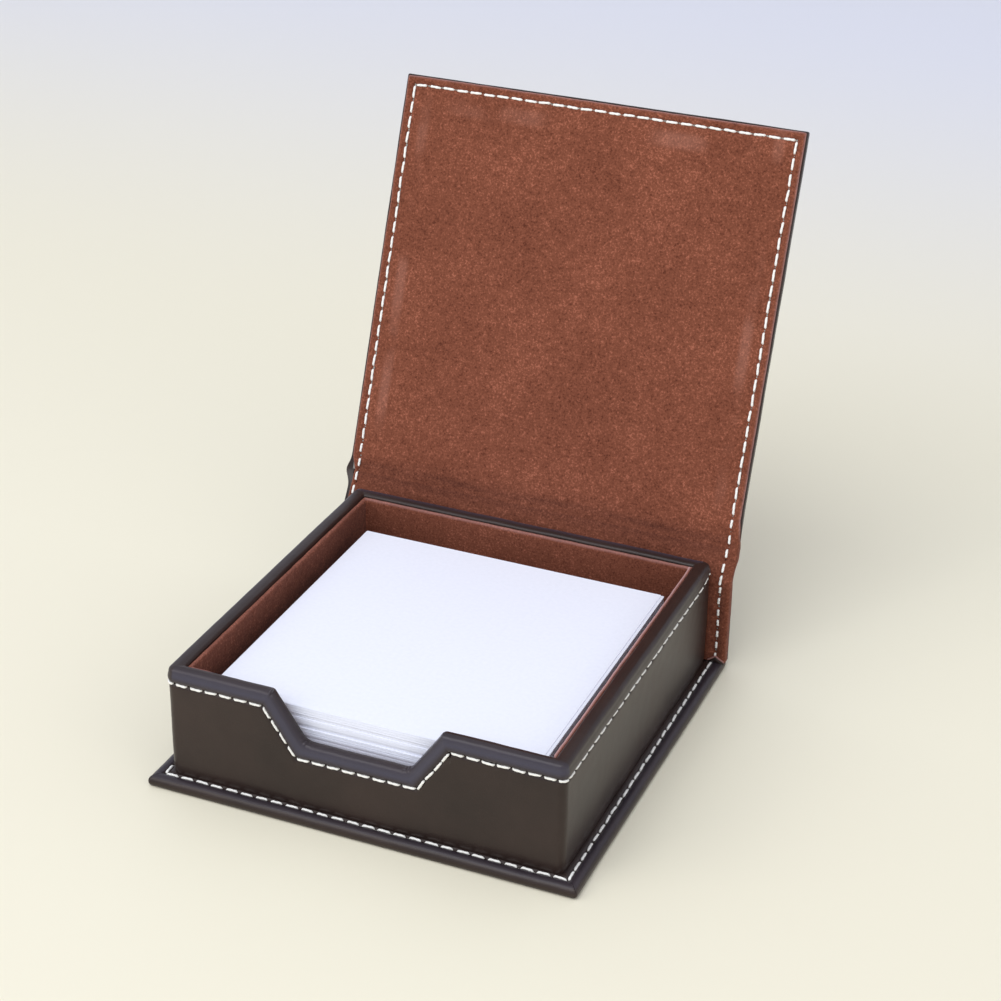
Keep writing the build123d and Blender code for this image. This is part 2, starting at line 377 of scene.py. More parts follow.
def leather_material(name, dark, light, roughness):
    """Fine-grained leather with a soft gloss, and a cool highlight painted where it is rolled
    over an edge.
    """
    material, tree, surface, place = new_material(name)
    cells = add(tree, "TexVoronoi", {"Vector": place.outputs["Object"], "Scale": 1900.0},
                feature="SMOOTH_F1")
    patches = grain(tree, place, 60.0, 4.0)
    colour = ramp(tree, patches, [(0.3, dark), (0.7, light)])
    coarse = bump(tree, cells.outputs["Distance"], 0.35, 0.00006)
    gloss = (roughness - 0.05, roughness + 0.06, "LINEAR")
    # the point attribute mixes in the painted cool highlight
    plug(tree, surface, {
        "Base Color": mixed(tree, attribute(tree, "painted_light"), colour, PAINTED_COOL_HIGHLIGHT),
        "Roughness": map_range(tree, patches, 0.0, 1.0, *gloss),
        "Normal": bump(tree, grain(tree, place, 5200.0), 0.25, 0.00003, Normal=coarse),
        "Specular IOR Level": 0.36, "Specular Tint": (1.0, 0.93, 0.88, 1),
        "Coat Weight": 0.06, "Coat Roughness": 0.22,
    })
    return material


def band(tree, value, low, high, soft):
    """1 between low and high, fading out over soft."""
    up = map_range(tree, value, low - soft, low)
    down = map_range(tree, value, high, high + soft, 1.0, 0.0)
    return maths(tree, "MULTIPLY", up, down)


def ridge_highlight_bands(tree, flat, cloud):
    """Faint patchy bands of painted highlight where the suede lies over the lid board's turned-in
    edges and catches the light.
    """
    split = add(tree, "SeparateXYZ", {"Vector": flat})
    across, along = maths(tree, "ABSOLUTE", split.outputs["X"]), split.outputs["Y"]
    sides = maths(tree, "MULTIPLY", band(tree, across, 0.0522, 0.0534, 0.0018),
                  band(tree, along, 0.062, 0.142, 0.02))
    top = maths(tree, "MULTIPLY", band(tree, along, 0.1442, 0.1460, 0.0025),
                band(tree, across, 0.022, 0.040, 0.009))
    patchy = map_range(tree, cloud, 0.42, 0.62, 0.0, 0.22)
    return maths(tree, "MULTIPLY", maths(tree, "MAXIMUM", sides, top), patchy)


def suede_material(name, dark, light, marks=False):
    """Brushed suede: mottled nap, fine speckle and a fuzzy sheen, with painted highlight and
    painted shade mixed in by a point attribute.
    """
    material, tree, surface, place = new_material(name)
    speckle = grain(tree, place, 1700.0, 3.0, 0.75)
    nap = grain(tree, place, 420.0, 4.0, 0.65)
    cloud = grain(tree, place, 38.0, 3.0)
    mottle = mixed(tree, 0.25, speckle, nap, "FLOAT")
    tone = mixed(tree, 0.15, mottle, cloud, "FLOAT")
    fleck = tuple(min(1.0, v * 1.7 + 0.015) for v in light)
    middle = tuple(0.35 * d + 0.65 * v for d, v in zip(dark, light))
    shade = ramp(tree, tone, [(0.37, dark), (0.455, middle), (0.54, light), (0.62, fleck)])
    # above 0 the point attribute mixes in painted highlight, below 0 painted shade
    painted_mix = attribute(tree, "painted_light")
    for sign, tint in ((1.0, PAINTED_NAP_HIGHLIGHT), (-1.0, PAINTED_NAP_SHADE)):
        shade = mixed(tree, maths(tree, "MULTIPLY", painted_mix, sign, clamp=True), shade, tint)
    # marks adds bands of painted highlight along the lid board's edges
    if marks:
        shade = mixed(tree, ridge_highlight_bands(tree, place.outputs["UV"], cloud), shade, PAINTED_RIDGE_HIGHLIGHT)
    plug(tree, surface, {
        "Base Color": shade, "Roughness": 0.95, "Specular IOR Level": 0.2,
        "Sheen Weight": 0.12, "Sheen Roughness": 0.45, "Sheen Tint": (1.0, 0.66, 0.6, 1),
        "Normal": bump(tree, mottle, 0.5, 0.00012),
    })
    return material


def grained_material(name, scale, detail, stops, roughness, relief=None, sheen=0.0, cut=None):
    """One grain in colour and relief; cut is the colour of a sheet's cut edges, painted lighter
    for the light on them.
    """
    material, tree, surface, place = new_material(name)
    fibres = grain(tree, place, scale, detail)
    colour = ramp(tree, fibres, stops)
    if cut:
        colour = mixed(tree, attribute(tree, "cut"), colour, cut)
    plug(tree, surface, {"Base Color": colour, "Roughness": roughness, "Sheen Weight": sheen})
    if relief:
        plug(tree, surface, {"Normal": bump(tree, fibres, *relief)})
    return material


def thread_material():
    """White twisted thread."""
    stops = [(0.3, (0.76, 0.73, 0.68)), (0.6, (0.94, 0.92, 0.87))]
    return grained_material("white_thread", 4200.0, 3.0, stops, 0.7, (0.4, 0.00005), 0.3)


def paper_material():
    """Smooth white note paper with a faint fibre pattern, and cut edges painted a little lighter.
    """
    stops = [(0.3, (0.80, 0.81, 0.89)), (0.7, (0.83, 0.84, 0.92))]
    return grained_material("memo_paper", 900.0, 5.0, stops, 0.75, (0.08, 0.00003),
                            cut=CUT_EDGE_PAINTED_BRIGHTER)


def board_material():
    """Grey bookbinding board with flecks."""
    stops = [(0.35, (0.19, 0.18, 0.16)), (0.65, (0.33, 0.32, 0.29))]
    return grained_material("grey_board", 700.0, 6.0, stops, 0.9, (0.3, 0.0001))


def hole_shade_material():
    """The unlit inside of a needle hole."""
    stops = [(0.3, (0.004, 0.003, 0.003)), (0.7, (0.012, 0.009, 0.008))]
    return grained_material("needle_hole", 3000.0, 2.0, stops, 0.9)


def table_material():
    """A plain warm white near the object that turns cooler behind it."""
    material, tree, surface, place = new_material("pale_table")
    split = add(tree, "SeparateXYZ", {"Vector": place.outputs["Object"]})
    behind = map_range(tree, split.outputs["Y"], 0.2, 0.75)
    colour = mixed(tree, behind, NEAR_TABLE, FAR_TABLE)
    plug(tree, surface, {"Base Color": colour, "Roughness": 0.6})
    return material


# ---- Tray --------------------------------------------------------------------

WALL_OUT = np.array([[0, -1], [1, 0], [0, 1], [-1, 0]], float)
WALL_ALONG = np.array([[1, 0], [0, 1], [-1, 0], [0, -1]], float)
WALL_END = TRAY - TRAY_CORNER
FRONT, RIGHT, REAR = 0, 1, 2
SEAM_DROPS = (SEAM_DROP, SIDE_SEAM_DROP, SEAM_DROP, SEAM_DROP)


def notch_half_width(height, grow):
    """Half width of the finger notch at a height, its outline moved out by grow."""
    corner = math.tan((math.pi / 2 - NOTCH_SLANT) / 2)
    bottom = NOTCH_HALF + grow * corner
    return bottom + (height - NOTCH_Z + grow) * math.tan(NOTCH_SLANT)


def notch_corners(grow):
    """The four corners of the notch's outline, from left to right."""
    high, low = RIM - grow, NOTCH_Z - grow
    top, bottom = notch_half_width(high, grow), notch_half_width(low, grow)
    return [
        np.array([NOTCH_X - top, high]),
        np.array([NOTCH_X - bottom, low]),
        np.array([NOTCH_X + bottom, low]),
        np.array([NOTCH_X + top, high]),
    ]


def around_corner(a, corner, b, radius, steps):
    """Points round a corner on the way from a to b."""
    to_a, to_b = unit(a - corner), unit(b - corner)
    half = math.acos(np.clip(to_a @ to_b, -1, 1)) / 2
    reach = radius / math.tan(half)
    centre = corner + unit(to_a + to_b) * radius / math.sin(half)
    first, last = corner + to_a * reach - centre, corner + to_b * reach - centre
    sweep = math.pi - 2 * half
    points = []
    for share in np.linspace(0, 1, steps):
        turned = first * math.sin((1 - share) * sweep) + last * math.sin(share * sweep)
        points.append(centre + turned / math.sin(sweep))
    return points


PLAIN_COLUMN = {"hole": 0.0, "steep": 1.0, "turn": 0.0, "low": -1.0, "left": -1.0, "right": -1.0}


class Columns:
    """Columns of the tray's cover: edge and seam points in each wall's own plane."""

    def __init__(self):
        self.rows, self.stitches, self.holes = [], [], []

    def put(self, wall, edge, seam, **more):
        """One column; low, left and right are shares of the way round a notch corner."""
        self.rows.append({"wall": wall, "edge": edge, "seam": seam, **PLAIN_COLUMN, **more})

    def close(self):
        """The columns as arrays."""
        for name in self.rows[0]:
            setattr(self, name, np.array([row[name] for row in self.rows]))
        self.out = WALL_OUT[self.wall]
        self.along = WALL_ALONG[self.wall]
        return self

    def place(self, a, z, depths, dent=0.0):
        """Points at places a along the walls and height z, at each wall's own depth."""
        depths = np.broadcast_to(depths, 4)
        own = depths[self.wall]
        after, before = depths[(self.wall + 1) % 4], depths[self.wall - 1]
        other = np.where(a > 0, after, before)
        radius = np.maximum(TRAY_CORNER - np.maximum(own, other), 0.4)
        radius = np.minimum(radius, TRAY_CORNER)
        beyond = np.maximum(np.abs(a) - STRAIGHT, 0)
        squeeze = (TRAY - other - radius - STRAIGHT) / (WALL_END - STRAIGHT)
        a = np.sign(a) * (np.minimum(np.abs(a), STRAIGHT) + beyond * squeeze)
        swell = radius - dent
        deep = TRAY - own - radius + swell * np.cos(self.turn)
        wide = a + swell * np.sin(self.turn)
        flat = self.out * deep[:, None] + self.along * wide[:, None]
        return np.column_stack([flat, np.broadcast_to(z, a.shape)])

    def between(self, d, depths, dent=0.0):
        """Points at distance d down from the edge, as far as the seam."""
        share = np.broadcast_to(np.asarray(d) / SEAM_DROP, self.hole.shape)[:, None]
        plane = self.edge + (self.seam - self.edge) * share
        return self.place(plane[:, 0], plane[:, 1], depths, dent)


def round_notch_corner(station, corner, centre, tangent):
    """Edge point over a seam station, and its share of the way round, near a low corner."""
    off = np.linalg.norm(station - corner)
    if off >= tangent:
        return None
    edge = centre + unit(station - centre) * NOTCH_ROUND
    return edge, 0.5 * (1 + np.sign(station[0] - corner[0]) * off / tangent)


def front_columns(columns):
    """The front wall, whose edge and seam dip round the finger notch."""
    edge, seam = notch_corners(0), notch_corners(SEAM_DROP)
    path = [np.array([-WALL_END, RIM - SEAM_DROP]), *seam, np.array([WALL_END, RIM - SEAM_DROP])]
    half = (math.pi / 2 - NOTCH_SLANT) / 2
    tangent = (NOTCH_ROUND + SEAM_DROP) * math.tan(half)
    low = []
    for k, sign in ((1, 1), (2, -1)):
        inward = unit(unit(edge[k - sign] - edge[k]) + unit(edge[k + sign] - edge[k]))
        low.append((seam[k], edge[k] + inward * NOTCH_ROUND / math.cos(half)))
    for k in range(5):
        a, b = path[k], path[k + 1]
        stations, holes, middles = leg(a, b)
        way = unit(b - a)
        up = np.array([-way[1], way[0]])
        steep = abs(way[0]) if k in (1, 3) else 1.0
        for s, h in zip(stations[min(k, 1):], holes[min(k, 1):]):
            found = [round_notch_corner(s, *c, tangent) for c in low] if 0 < k < 4 else []
            found = [f for f in found if f] or [(s + up * SEAM_DROP, -1.0)]
            columns.put(0, found[0][0], s, hole=h, steep=steep, low=found[0][1])
        columns.stitches += [(0, m, way) for m in middles]
        columns.holes += [(0, s) for s in stations[::STEPS]]
        if k in (0, 3):
            fan_columns(columns, k, path, edge, up, steep)


def fan_columns(columns, k, path, edge, up, steep):
    """Columns that fan round an upper corner of the notch from one seam point."""
    b = path[k + 1]
    following = unit(path[k + 2] - b)
    next_up = np.array([-following[1], following[0]])
    start, stop = b + up * SEAM_DROP, b + next_up * SEAM_DROP
    corner = edge[0] if k == 0 else edge[3]
    bends = around_corner(start, corner, stop, 1.2, 11)
    for n, e in enumerate(bends):
        turned = {"right" if k else "left": n / (len(bends) - 1)}
        columns.put(0, e, b, hole=1.0, **turned)
    columns.put(0, stop, b, hole=1.0, steep=steep)


def side_columns(columns, wall):
    """A plain wall; the right one's seam climbs a little at its rear end."""
    drop = SEAM_DROPS[wall]
    stations, holes, _ = leg((-WALL_END, RIM - drop), (WALL_END, RIM - drop))
    sewn = wall != REAR
    climb = 1.5 * (wall == RIGHT)

    def lifted(p):
        near = min(1.0, max(0.0, (p[0] - WALL_END + 6.0) / 6.0))
        return np.array([p[0], p[1] + climb * near * near])

    for s, h in zip(stations, holes * sewn):
        columns.put(wall, (s[0], RIM), lifted(s), hole=h)
    if sewn:
        for a, b in zip(stations[:-STEPS:STEPS], stations[STEPS::STEPS]):
            a, b = lifted(a), lifted(b)
            columns.stitches.append((wall, (a + b) / 2, unit(b - a)))
        columns.holes += [(wall, lifted(s)) for s in stations[::STEPS]]


def corner_columns(columns, wall, steps=7):
    """The rounded corner after a wall, where the seam goes from one height to the next."""
    start = columns.rows[-1]["seam"][1]
    stop = RIM - SEAM_DROPS[(wall + 1) % 4]
    for turn in np.linspace(0, math.pi / 2, steps + 2)[1:-1]:
        height = start + (stop - start) * turn / (math.pi / 2)
        columns.put(wall, (WALL_END, RIM), (WALL_END, height), turn=turn)


def tray_columns():
    """All four walls and their corners, from the front one round by the right."""
    columns = Columns()
    for wall in range(4):
        if wall == FRONT:
            front_columns(columns)
        else:
            side_columns(columns, wall)
        corner_columns(columns, wall)
    return columns.close()


def notch_pleats(columns):
    """Small pleats where the leather turns the notch's corners."""
    low, left, right = columns.low, columns.left, columns.right
    pleat = np.where(low >= 0, 0.14 * np.sin(low * math.pi * 7) * np.sin(low * math.pi), 0)
    pleat -= np.where(left >= 0, 0.5 * np.exp(-(((left - 0.4) / 0.22) ** 2)), 0)
    pleat += np.where(left >= 0, 0.22 * np.exp(-(((left - 0.85) / 0.12) ** 2)), 0)
    pleat -= np.where(right >= 0, 0.15 * np.exp(-(((right - 0.5) / 0.3) ** 2)), 0)
    return pleat


RIM_DROP = 1.45             # the rim's outer rounding, down and across
RIM_DEPTH = 1.3
INNER_ROUND = 0.8
PUFF = 0.3                  # of the padded band between seam and rim
BAND_PAINTED_HIGHLIGHT = np.array([1.0, 0.1, 0.3, 0.2])          # painted cool highlight on the padded band, wall by wall
TOP_PAINTED_HIGHLIGHT = np.array([0.25, 0.0, 0.75, 0.1])         # painted cool highlight on the rim's top, wall by wall


def tray_cover(columns, material):
    """Leather from the foot of the walls over the padded rim and down inside, with a painted cool
    highlight on the padded band and the rim's top.
    """
    rows, band_highlight_rows = [], []
    fall = columns.seam[:, 1] - BASE_Z
    for share in np.linspace(1, 0, 26, endpoint=False):
        h = fall * share ** 1.8
        dent = groove(h * columns.steep) + columns.hole * puncture(h * columns.steep)
        foot = 0.25 * (share > 0.999)
        rows.append(columns.place(columns.seam[:, 0], columns.seam[:, 1] - h, 0.0, dent + foot))
        band_highlight_rows.append(0.0)
    for d in (4.4, 4.15, 3.85, 3.5, 3.1, 2.65, 2.2, 1.8, RIM_DROP):
        away = SEAM_DROP - d
        puff = PUFF * math.sin(math.pi * min(1, away / 3.0))
        dent = groove(away) + columns.hole * puncture(away) - puff
        rows.append(columns.between(d, 0.0, dent))
        band_highlight_rows.append(math.sin(math.pi * min(1.0, away / 5.2)) ** 2)
    pleat = notch_pleats(columns)
    for angle in np.linspace(0, math.pi / 2, 8)[1:]:
        d = RIM_DROP * (1 - math.sin(angle))
        t = RIM_DEPTH * (1 - math.cos(angle))
        rows.append(columns.between(d + pleat * math.sin(angle), t, -0.03))
    for share in (0.25, 0.5, 0.75, 1.0):
        depths = RIM_DEPTH + (WALLS - INNER_ROUND - RIM_DEPTH) * share
        rise = pleat * (1 - share) - 0.12 * math.sin(math.pi * share)
        rows.append(columns.between(rise, depths))
    for angle in np.linspace(0, math.pi / 2, 6)[1:]:
        d = INNER_ROUND * (1 - math.cos(angle))
        rows.append(columns.between(d, WALLS - INNER_ROUND * (1 - math.sin(angle))))
    rows.append(columns.between(2.2, WALLS))
    rows.append(columns.between(SEAM_DROP, WALLS))
    # shares of the painted cool highlight, row by row, on the band and the rim's top
    top_highlight_rows = [0.0] * len(band_highlight_rows) + [0.0, 0.1, 0.25, 0.5, 0.8, 1.0, 1.0, 0.8, 0.4, 0.15]
    band_highlight_rows += [0.9, 0.7, 0.5, 0.3, 0.15, 0.05]
    highlight_share = np.zeros((len(rows), len(columns.wall)))
    for shares, by_wall in ((band_highlight_rows, BAND_PAINTED_HIGHLIGHT), (top_highlight_rows, TOP_PAINTED_HIGHLIGHT)):
        highlight_share[:len(shares)] += np.outer(shares, by_wall[columns.wall])
    points = wobble(np.array(rows), 14.0, 0.12, 3.0)
    points = wobble(points, 3.2, 0.04, 9.0)
    faces = grid_faces(points.shape[0], points.shape[1], True)
    return mesh_from("tray_leather", points.reshape(-1, 3), faces, material, painted_light=np.ravel(highlight_share))


LINING_PROFILE = (          # distance down from the edge, depth past the wall, share of painted highlight
    (2.6, 0.06, 0.0), (1.2, 0.06, 0.0), (0.8, 0.1, 0.0), (0.62, 0.26, 0.1),
    (0.52, 0.55, 0.5), (0.52, 0.8, 1.0), (0.68, 1.02, 1.0), (0.95, 1.12, 0.6),
    (1.4, 1.15, 0.1), (2.2, 1.15, 0.0), (3.2, 1.15, 0.0), (4.4, 1.15, 0.0),
)
LINING_SINK = np.array([1.3, 0.0, 0.1, 0.1])        # below the others, wall by wall
# painted highlight on the lining's top edge, wall by wall
LINING_HIGHLIGHT = np.array([0.3, 0.95, 0.28, 0.1])
LINING_SHADE = np.array([0.0, 0.7, 0.08, 0.28])      # painted shade for the dark gap beside the sheets, wall by wall


def wall_lining(columns, material):
    """Suede over the cards inside the tray, as one strip round the four walls, with a painted
    highlight along its top edge and painted shade below.
    """
    rows, painted_light = [], []
    seam_x = columns.seam[:, 0]
    near_left = (columns.wall == 0) * np.clip((-38.0 - seam_x) / 8.0, 0, 1)
    sink = LINING_SINK[columns.wall] * (1 - 0.75 * near_left)
    for d, t, soft in LINING_PROFILE:
        rows.append(columns.between(d + sink * (1 - d / SEAM_DROP), WALLS + t))
        shade = min(1.0, max(0.0, (d - 0.95) / 0.8))
        painted_light.append(soft * LINING_HIGHLIGHT[columns.wall] - shade * LINING_SHADE[columns.wall])
    fall = columns.seam[:, 1] - FLOOR + 0.3
    for share in np.linspace(0, 1, 14)[1:]:
        height = columns.seam[:, 1] - fall * share
        rows.append(columns.place(seam_x, height, WALLS + LINING))
        painted_light.append(-LINING_SHADE[columns.wall])
    points = wobble(np.array(rows), 2.4, 0.09, 5.0)
    faces = [f[::-1] for f in grid_faces(points.shape[0], points.shape[1], True)]
    return mesh_from("tray_suede", points.reshape(-1, 3), faces, material, painted_light=np.ravel(painted_light))


def corner_stitch(corner_x, corner_y, z_from, z_to):
    """A stitch that runs round an upright corner of the tray, from front to side."""
    centre = np.array([corner_x, corner_y]) * WALL_END
    path, outs = [], []
    for share in np.linspace(0.06, 0.94, THREAD_STEPS):
        turn = share * math.pi / 2
        out = np.array([corner_x * math.sin(turn), corner_y * math.cos(turn)])
        path.append([*(centre + out * (TRAY_CORNER - 0.05)), z_from + (z_to - z_from) * share])
        outs.append([*out, 0.0])
    return np.array(path), np.array(outs)


def tray_stitches(columns):
    """Stitches and needle holes of the tray's seam, in space."""
    stitches, holes = [], []
    for wall, place, way in columns.stitches:
        out, along = WALL_OUT[wall], WALL_ALONG[wall]
        centre = out * (TRAY - 0.16) + along * place[0]
        direction = np.array([*(along * way[0]), way[1]])
        stitches.append(((*centre, place[1]), direction, (*out, 0), THREAD_LENGTH))
    for wall, place in columns.holes:
        out, along = WALL_OUT[wall], WALL_ALONG[wall]
        centre = out * (TRAY - 0.6) + along * place[0]
        holes.append(((*centre, place[1]), (*out, 0)))
    bent = [
        corner_stitch(1, -1, RIM - SEAM_DROP, RIM - SIDE_SEAM_DROP),
        corner_stitch(-1, -1, RIM - SEAM_DROP, RIM - SEAM_DROP),
        corner_stitch(1, 1, RIM - SEAM_DROP + 1.2, RIM - SIDE_SEAM_DROP + 1.5),
    ]
    return stitches, holes, bent


# ---- Base --------------------------------------------------------------------

BASE_PROFILE = (            # inset from the edge and height
    (BASE_TURN_IN, 3.2), (8.0, 3.2), (5.6, 3.2), (5.0, 3.19), (4.6, 3.14), (4.25, 3.03),
    (3.95, 2.89), (3.7, 2.79), (3.5, 2.75), (3.3, 2.8), (3.05, 2.93), (2.75, 3.08),
    (2.4, 3.18), (2.0, 3.22), (1.6, 3.18), (1.2, 3.06), (0.85, 2.88), (0.55, 2.64),
    (0.3, 2.34), (0.12, 2.0), (0.02, 1.65), (0.0, 1.35), (0.05, 0.95), (0.2, 0.58),
    (0.45, 0.28), (0.8, 0.08), (1.2, 0.0), (2.2, 0.0), (2.7, 0.06), (3.05, 0.26),
    (3.3, 0.45), (3.5, 0.52), (3.7, 0.45), (3.95, 0.26), (4.3, 0.06), (4.8, 0.0),
    (8.0, 0.0), (BASE_TURN_IN, 0.0),
)


class BaseRing:
    """Outline and seam points round the base, with its stitches and corner pleats."""

    def __init__(self):
        sx, sy = BASE_X - BASE_SEAM, BASE_Y - BASE_SEAM
        corners = np.array([(-sx, -sy), (sx, -sy), (sx, sy), (-sx, sy)], float)
        outer, seam, hole, pleat = [], [], [], []
        self.stitches, self.holes = [], []
        for k in range(4):
            a, b, out = corners[k], corners[(k + 1) % 4], WALL_OUT[k]
            sewn = k != REAR
            stations, marks, middles = leg(a, b)
            outer += [s + out * BASE_SEAM for s in stations]
            seam += list(stations)
            hole += list(marks * sewn)
            pleat += [-1.0] * len(stations)
            if sewn:
                self.stitches += [(m, unit(b - a)) for m in middles]
                self.holes += list(stations[::STEPS])
            next_out = WALL_OUT[(k + 1) % 4]
            start, stop = b + out * BASE_SEAM, b + next_out * BASE_SEAM
            corner = b + (out + next_out) * BASE_SEAM
            bends = around_corner(start, corner, stop, BASE_CORNER, 13)
            bends = [start + (bends[0] - start) * s for s in (0.35, 0.7)] + bends
            bends += [bends[-1] + (stop - bends[-1]) * s for s in (0.3, 0.65)]
            outer += bends
            seam += [b] * len(bends)
            hole += [0.0] * len(bends)
            pleat += list(np.linspace(0, 1, len(bends)))
        self.outer, self.seam = np.array(outer), np.array(seam)
        self.hole, self.pleat = np.array(hole), np.array(pleat)
        turned = np.array([BASE_X - BASE_TURN_IN, BASE_Y - BASE_TURN_IN])
        self.inner = self.seam * turned / (sx, sy)

    def row(self, inset, z):
        """Points at an inset from the edge; the flange's corners are folded."""
        if inset <= BASE_SEAM:
            flat = self.seam + (self.outer - self.seam) * (1 - inset / BASE_SEAM)
        else:
            share = (inset - BASE_SEAM) / (BASE_TURN_IN - BASE_SEAM)
            flat = self.seam + (self.inner - self.seam) * share
        dent = self.hole * puncture(inset - BASE_SEAM)
        if z < 1.2:
            return np.column_stack([flat, z + 0.25 * dent])
        share = np.clip(self.pleat, 0, 1)
        fold = 0.2 * np.exp(-(((share - 0.36) / 0.1) ** 2))
        fold -= 0.4 * np.exp(-(((share - 0.52) / 0.05) ** 2))
        fold *= (self.pleat >= 0) * np.clip((2.9 - inset) / 1.6, 0, 1)
        return np.column_stack([flat, z - 0.8 * dent + fold])


def base_cover(ring, material):
    """Leather round the base board, with a soft flange outside the seam."""
    points = np.array([ring.row(inset, z) for inset, z in BASE_PROFILE])
    upper = np.array([z > 0.9 for _, z in BASE_PROFILE])
    points[upper] = wobble(points[upper], 16.0, 0.13, 1.0)
    points[upper] = wobble(points[upper], 4.0, 0.05, 6.0)
    rows, count = points.shape[:2]
    # painted cool highlight on the top of the flange
    highlight_share = [0.3 * (z > 2.5 and 0.7 < inset < 2.9) for inset, z in BASE_PROFILE]
    faces = [f[::-1] for f in grid_faces(rows, count, True)]
    last = (rows - 1) * count
    faces.append(tuple(range(last, last + count))[::-1])
    return mesh_from("base_leather", points.reshape(-1, 3), faces, material,
                     painted_light=np.repeat(highlight_share, count))


def base_stitches(ring):
    """The seam's stitches on the flange, sunk ones on the underside, and the holes."""
    upper = [((*m, 2.9), (*way, 0), (0, 0, 1), THREAD_LENGTH) for m, way in ring.stitches]
    lower = [((*m, 0.36), (*way, 0), (0, 0, -1), THREAD_LENGTH) for m, way in ring.stitches]
    marks = [((*s, 2.46), (0, 0, 1)) for s in ring.holes]
    return upper, lower, marks


# ---- Spine, fold and lid -----------------------------------------------------

FOLD_INNER = np.array([
    (55.0, 28.4), (55.2, 29.4), (55.9, 30.5), (56.8, 31.8), (57.75, 33.2),
    (58.7, 34.7), (59.75, 36.2), (60.64, 37.58),
])
FOLD_OUTER = np.array([
    (59.0, 28.4), (58.98, 29.6), (59.02, 30.8), (59.3, 32.1), (59.95, 33.4),
    (61.0, 34.5), (62.3, 35.45), (63.25, 36.57),
])


def lid_plane(along, depth):
    """(y, z) of a point along the lid and a depth behind its inner face."""
    back = LID_FACE + np.asarray(depth)
    y = HINGE[0] + math.sin(LEAN) * np.asarray(along) + math.cos(LEAN) * back
    z = HINGE[1] + math.cos(LEAN) * np.asarray(along) - math.sin(LEAN) * back
    return np.stack([y, z], -1)


def smooth_path(points, count):
    """A soft curve through control points, as count + 1 points."""
    padded = np.vstack([2 * points[0] - points[1], points, 2 * points[-1] - points[-2]])
    out = []
    for value in np.linspace(0, len(points) - 1, count + 1):
        k = min(int(value), len(points) - 2)
        t = value - k
        p0, p1, p2, p3 = padded[k:k + 4]
        bend = 2 * p0 - 5 * p1 + 4 * p2 - p3
        cube = 3 * p1 - p0 - 3 * p2 + p3
        out.append(p1 + 0.5 * ((p2 - p0) * t + bend * t * t + cube * t ** 3))
    return np.array(out)


class Binding:
    """Stations up the spine, over the fold and along the lid, inside and outside."""

    def __init__(self):
        spine, _, _ = leg((SPINE_FRONT, BASE_Z + 0.1), (SPINE_FRONT, SPINE_TOP), SPINE_STITCHES)
        lid, _, _ = leg((LID_START, 0), (LID_END - LID_SEAM, 0))
        n = FOLD_STITCHES * STEPS
        back = np.column_stack([np.full(len(spine), SPINE_BACK), spine[:, 1]])
        self.inner, self.outer = (
            np.vstack([low, smooth_path(fold, n)[1:], lid_plane(lid[1:, 0], depth)])
            for low, fold, depth in ((spine, FOLD_INNER, 0), (back, FOLD_OUTER, LID_THICK))
        )
        gap = self.outer - self.inner
        self.thick = np.linalg.norm(gap, axis=1)
        self.back = gap / self.thick[:, None]
        self.hole = (np.arange(len(self.inner)) % STEPS == 0).astype(float)
        steps = np.linalg.norm(np.diff(self.inner, axis=0), axis=1)
        self.flat = np.concatenate([[0], np.cumsum(steps)])
        self.spine_end = len(spine) - 1
        self.fold_end = self.spine_end + n
        self.middle = 0.5 * (self.flat[self.spine_end] + self.flat[self.fold_end])
        self.across, self.across_hole, self.across_middle = leg(
            (-BASE_X + LID_SEAM, 0), (BASE_X - LID_SEAM, 0)
        )
        self.across = self.across[:, 0]
        self.on_spine = np.clip((self.flat[self.fold_end] + 8.0 - self.flat) / 8.0, 0, 1)

    def near_fold(self, reach, lift=1.0):
        """Weight of the stations near the fold, lifted by a distance up the lid."""
        return np.exp(-(((self.flat - self.middle - lift) / reach) ** 2))

    def seams(self):
        """Left and right seam places at each station."""
        sway = 0.22 * np.sin(self.flat * 1.6) * self.near_fold(4.5)
        half = BASE_X - LID_SEAM
        return sway - half, sway + half + 0.25 * self.on_spine

    def point(self, station, x, depth):
        """Space points at a station, at places x and depths behind the inner face."""
        plane = self.inner[station] + self.back[station] * np.asarray(depth)[:, None]
        return np.column_stack([x, plane])


def binding_ring(binding, left_bulge, right_bulge):
    """Stations of the border: up the left side, across the top and down the right.

    Each is (station or None, edge, seam, hole, wrap); the bulges are how far the
    edge stands out at each station, and wrap is how far the suede goes round it.
    """
    ring = []
    count = len(binding.inner)
    left, right = binding.seams()
    hole = binding.hole
    ring += [(i, -EDGE - left_bulge[i], left[i], hole[i], 0.0) for i in range(count)]
    end, half = LID_END - LID_SEAM, BASE_X - LID_SEAM
    far = LID_END + EDGE - BASE_X
    places = zip(binding.across, binding.across_hole)
    top = [(None, (x, far), (x, end), h, 0.0) for x, h in places]
    for side in (-1, 1):
        a, b = np.array([side * EDGE, end]), np.array([side * half, far])
        bends = around_corner(a, np.array([side * EDGE, far]), b, LID_CORNER, 7)
        bends = [a + (bends[0] - a) * 0.5] + bends + [bends[-1] + (b - bends[-1]) * 0.5]
        fan = [(None, tuple(p), (side * half, end), 1.0, 0.0) for p in bends]
        ring += fan + top if side < 0 else fan[::-1]
    edge = EDGE + right_bulge + 0.3 * binding.on_spine
    ring += [(i, edge[i], right[i], hole[i], binding.on_spine[i]) for i in reversed(range(count))]
    return ring


